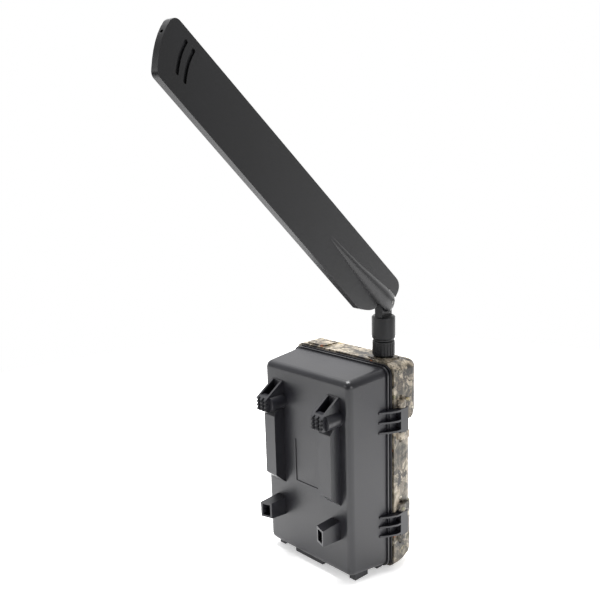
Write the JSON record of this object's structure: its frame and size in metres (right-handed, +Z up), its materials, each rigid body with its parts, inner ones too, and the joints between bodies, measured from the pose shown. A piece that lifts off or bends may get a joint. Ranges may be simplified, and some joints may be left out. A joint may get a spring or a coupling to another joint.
{
  "type": "trail camera",
  "caption": "Upright trail camera with a hinged clamshell case, strap hooks and rails on its back, and a tilting paddle antenna on a swivel base.",
  "frame": {"origin": "middle of the resting pad under the rear shell, on the level the camera stands on", "axes": "+Z up; the lens looks along -Y and the tree side is +Y; +X is the latch side and -X the hinge side"},
  "size_m": [0.1224, 0.2108, 0.3313],
  "materials": {
    "shell_black": "fine moulded texture",
    "shell_camouflage": "film-printed bark and leaf pattern, satin",
    "plastic_black": "satin",
    "antenna_plastic": "satin",
    "rubber": "matte",
    "steel": "nickel plated",
    "brass": "turned",
    "circuit": "solder mask",
    "dark_window": "polished, infrared-passing",
    "clear": "polished",
    "milky": "satin",
    "screen": "glossy",
    "cell": "glossy film sleeve",
    "card": "satin"
  },
  "bodies": {
    "rear_case": {"rear_shell": "shell_black", "case_seal": "rubber", "tripod_insert": "brass", "power_jack": "plastic_black", "hinge_pin_upper": "steel", "hinge_pin_lower": "steel", "battery_tray": "plastic_black", "contacts_lower_bottom": "steel", "contacts_lower_top": "steel", "contacts_upper_bottom": "steel", "contacts_upper_top": "steel", "battery_lower_1": "cell", "battery_lower_2": "cell", "battery_lower_3": "cell", "battery_lower_4": "cell", "battery_upper_1": "cell", "battery_upper_2": "cell", "battery_upper_3": "cell", "battery_upper_4": "cell"},
    "plug": {"jack_plug": "rubber"},
    "front_cover": {"front_shell": "shell_camouflage", "inner_panel": "plastic_black", "main_board": "circuit", "screen_module": "screen", "screen_window": "clear", "mode_switch_body": "steel", "sd_socket": "steel", "sim_socket": "steel", "usb_port": "steel", "panel_screw_1": "steel", "panel_screw_2": "steel", "panel_screw_3": "steel", "panel_screw_4": "steel", "camera_module": "plastic_black", "lens_glass": "clear", "lens_window": "clear", "lens_bezel": "plastic_black", "led_window": "dark_window", "led_board": "circuit", "motion_lens": "milky", "motion_sensor": "steel", "status_window": "clear", "speaker": "steel", "radio_module": "steel", "antenna_connector": "brass", "antenna_lead": "rubber"},
    "upper_latch": {"latch_upper": "plastic_black"},
    "lower_latch": {"latch_lower": "plastic_black"},
    "up_key": {"key_up": "rubber"},
    "down_key": {"key_down": "rubber"},
    "left_key": {"key_left": "rubber"},
    "right_key": {"key_right": "rubber"},
    "ok_key": {"key_ok": "rubber"},
    "mode_knob": {"mode_switch_knob": "milky"},
    "memory_card": {"sd_card": "card"},
    "phone_card": {"sim_card": "milky"},
    "nut": {"antenna_nut": "antenna_plastic"},
    "swivel": {"antenna_base": "antenna_plastic"},
    "blade": {"antenna_blade": "antenna_plastic", "antenna_pin": "steel"}
  },
  "joints": [
    {"name": "cover_hinge", "type": "hinge", "parent": "rear_case", "child": "front_cover", "pos_m": [-0.0431, -0.0215, 0.06745], "axis": [0, 0, -1], "range_deg": [0, 105]},
    {"name": "plug_pull", "type": "slide", "parent": "rear_case", "child": "plug", "axis": [0, 0, -1], "range_m": [0, 0.008]},
    {"name": "upper_latch_pivot", "type": "hinge", "parent": "front_cover", "child": "upper_latch", "pos_m": [0.0463, -0.023, 0.1029], "axis": [0, 0, -1], "range_deg": [0, 100]},
    {"name": "lower_latch_pivot", "type": "hinge", "parent": "front_cover", "child": "lower_latch", "pos_m": [0.0463, -0.023, 0.032], "axis": [0, 0, -1], "range_deg": [0, 100]},
    {"name": "up_key_press", "type": "slide", "parent": "front_cover", "child": "up_key", "axis": [0, -1, 0], "range_m": [0, 0.0008], "stiffness_N_per_m": 300, "springref_m": -0.0005},
    {"name": "down_key_press", "type": "slide", "parent": "front_cover", "child": "down_key", "axis": [0, -1, 0], "range_m": [0, 0.0008], "stiffness_N_per_m": 300, "springref_m": -0.0005},
    {"name": "left_key_press", "type": "slide", "parent": "front_cover", "child": "left_key", "axis": [0, -1, 0], "range_m": [0, 0.0008], "stiffness_N_per_m": 300, "springref_m": -0.0005},
    {"name": "right_key_press", "type": "slide", "parent": "front_cover", "child": "right_key", "axis": [0, -1, 0], "range_m": [0, 0.0008], "stiffness_N_per_m": 300, "springref_m": -0.0005},
    {"name": "ok_key_press", "type": "slide", "parent": "front_cover", "child": "ok_key", "axis": [0, -1, 0], "range_m": [0, 0.0008], "stiffness_N_per_m": 300, "springref_m": -0.0005},
    {"name": "mode_slide", "type": "slide", "parent": "front_cover", "child": "mode_knob", "axis": [1, 0, 0], "range_m": [0, 0.004]},
    {"name": "memory_card_slide", "type": "slide", "parent": "front_cover", "child": "memory_card", "axis": [1, 0, 0], "range_m": [0, 0.012]},
    {"name": "phone_card_slide", "type": "slide", "parent": "front_cover", "child": "phone_card", "axis": [1, 0, 0], "range_m": [0, 0.008]},
    {"name": "nut_spin", "type": "hinge", "parent": "front_cover", "child": "nut", "pos_m": [-0.0274, -0.024, 0.1463], "axis": [0, 0, 1], "continuous": true},
    {"name": "antenna_swivel", "type": "hinge", "parent": "front_cover", "child": "swivel", "pos_m": [-0.0274, -0.024, 0.16], "axis": [0, 0, 1], "continuous": true},
    {"name": "antenna_tilt", "type": "hinge", "parent": "swivel", "child": "blade", "pos_m": [-0.0274, -0.024, 0.1766], "axis": [-0.9744, -0.225, 0], "range_deg": [-53, 37]}
  ]
}
